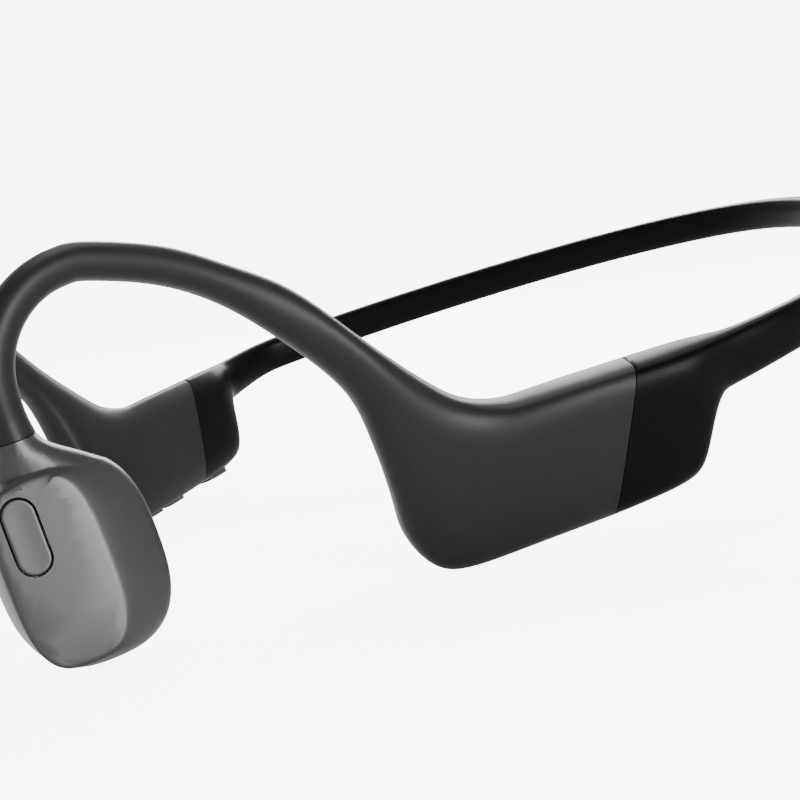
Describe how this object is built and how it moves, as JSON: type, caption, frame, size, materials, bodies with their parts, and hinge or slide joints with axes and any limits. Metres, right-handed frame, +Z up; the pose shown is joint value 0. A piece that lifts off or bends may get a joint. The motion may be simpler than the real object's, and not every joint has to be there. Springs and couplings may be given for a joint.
{
  "type": "bone conduction headphones",
  "caption": "Wraparound bone conduction headphones: hooks pass over the ears, drivers press on the cheekbones, side pods hold battery and electronics, and a slim band passes behind the neck.",
  "frame": {"origin": "bottom centre of the bounding box, as the headphones stand on a level surface on the drivers and on the front lower corners of the pods", "axes": "+X to the wearer's left, +Y to the back of the neck, +Z up; symmetric about X = 0 except for the button, the keys, the port, the light and what is inside the pods"},
  "size_m": [0.1444, 0.168, 0.0464],
  "materials": {
    "hook_silicone": "soft matt silicone, dark charcoal",
    "band_silicone": "soft matt silicone, near black",
    "titanium_wire": "drawn titanium",
    "cable_jacket": "matt jacket",
    "brass_clamp": "machined",
    "case_plastic": "moulded, fine texture",
    "cell_wrap": "foil pouch",
    "circuit_board": "solder mask",
    "chip_resin": "moulded resin",
    "shield_steel": "tinned",
    "ceramic": "fired ceramic",
    "key_plastic": "satin",
    "switch_flex": "polyimide",
    "port_plastic": "satin",
    "gold_contact": "gold plated",
    "magnet": "nickel plated",
    "light_pipe": "clear, frosted end",
    "driver_shell_plastic": "satin, soft touch",
    "contact_pad_silicone": "soft matt silicone, light grey",
    "gasket_rubber": "matt",
    "frame_plastic": "moulded",
    "spring_steel": "rolled strip",
    "copper_coil": "enamelled copper",
    "yoke_steel": "zinc plated",
    "button_plastic": "satin",
    "mic_can": "plated",
    "mic_mesh": "woven"
  },
  "bodies": {
    "headset": {"left_hook_sheath": "hook_silicone", "right_hook_sheath": "hook_silicone", "neckband_cover": "band_silicone", "left_hook_wire": "titanium_wire", "right_hook_wire": "titanium_wire", "band_wire": "titanium_wire", "left_hook_cable": "cable_jacket", "right_hook_cable": "cable_jacket", "band_cable": "cable_jacket", "left_hook_clamp": "brass_clamp", "right_hook_clamp": "brass_clamp", "left_band_clamp": "brass_clamp", "right_band_clamp": "brass_clamp", "battery_case": "case_plastic", "battery_lid": "case_plastic", "battery_cell": "cell_wrap", "battery_board": "circuit_board", "circuit_case": "case_plastic", "circuit_lid": "case_plastic", "main_board": "circuit_board", "board_chips": "chip_resin", "shield_can": "shield_steel", "antenna": "ceramic", "volume_switches": "switch_flex", "charging_port": "port_plastic", "charging_contacts": "gold_contact", "charging_magnets": "magnet", "status_light": "light_pipe", "left_driver_shell": "driver_shell_plastic", "right_driver_shell": "driver_shell_plastic", "left_driver_cover": "contact_pad_silicone", "right_driver_cover": "contact_pad_silicone", "left_driver_gasket": "gasket_rubber", "right_driver_gasket": "gasket_rubber", "left_driver_plug": "gasket_rubber", "right_driver_plug": "gasket_rubber", "left_driver_frame": "frame_plastic", "right_driver_frame": "frame_plastic", "left_leaf_spring": "spring_steel", "right_leaf_spring": "spring_steel", "left_voice_coil": "copper_coil", "right_voice_coil": "copper_coil", "button_switch": "switch_flex", "microphone": "mic_can", "microphone_mesh": "mic_mesh"},
    "multifunction_button": {"multifunction_button": "button_plastic"},
    "volume_up_key": {"volume_up_key": "key_plastic"},
    "volume_down_key": {"volume_down_key": "key_plastic"},
    "left_magnet_assembly": {"left_yoke_cup": "yoke_steel", "left_magnet": "magnet", "left_pole_plate": "yoke_steel", "left_spring_nut": "spring_steel"},
    "right_magnet_assembly": {"right_yoke_cup": "yoke_steel", "right_magnet": "magnet", "right_pole_plate": "yoke_steel", "right_spring_nut": "spring_steel"}
  },
  "joints": [
    {"name": "multifunction_button_press", "type": "slide", "parent": "headset", "child": "multifunction_button", "axis": [-0.9583, 0.2645, -0.1077], "range_m": [0, 0.00035], "stiffness_N_per_m": 3000},
    {"name": "volume_up_press", "type": "slide", "parent": "headset", "child": "volume_up_key", "axis": [-0.135, -0.2488, 0.9591], "range_m": [0, 0.0003], "stiffness_N_per_m": 3000},
    {"name": "volume_down_press", "type": "slide", "parent": "headset", "child": "volume_down_key", "axis": [-0.135, -0.2488, 0.9591], "range_m": [0, 0.0003], "stiffness_N_per_m": 3000},
    {"name": "left_magnet_slide", "type": "slide", "parent": "headset", "child": "left_magnet_assembly", "axis": [0.9583, -0.2645, 0.1077], "range_m": [-0.0003, 0.0003], "stiffness_N_per_m": 6000},
    {"name": "right_magnet_slide", "type": "slide", "parent": "headset", "child": "right_magnet_assembly", "axis": [-0.9583, -0.2645, 0.1077], "range_m": [-0.0003, 0.0003], "stiffness_N_per_m": 6000}
  ]
}
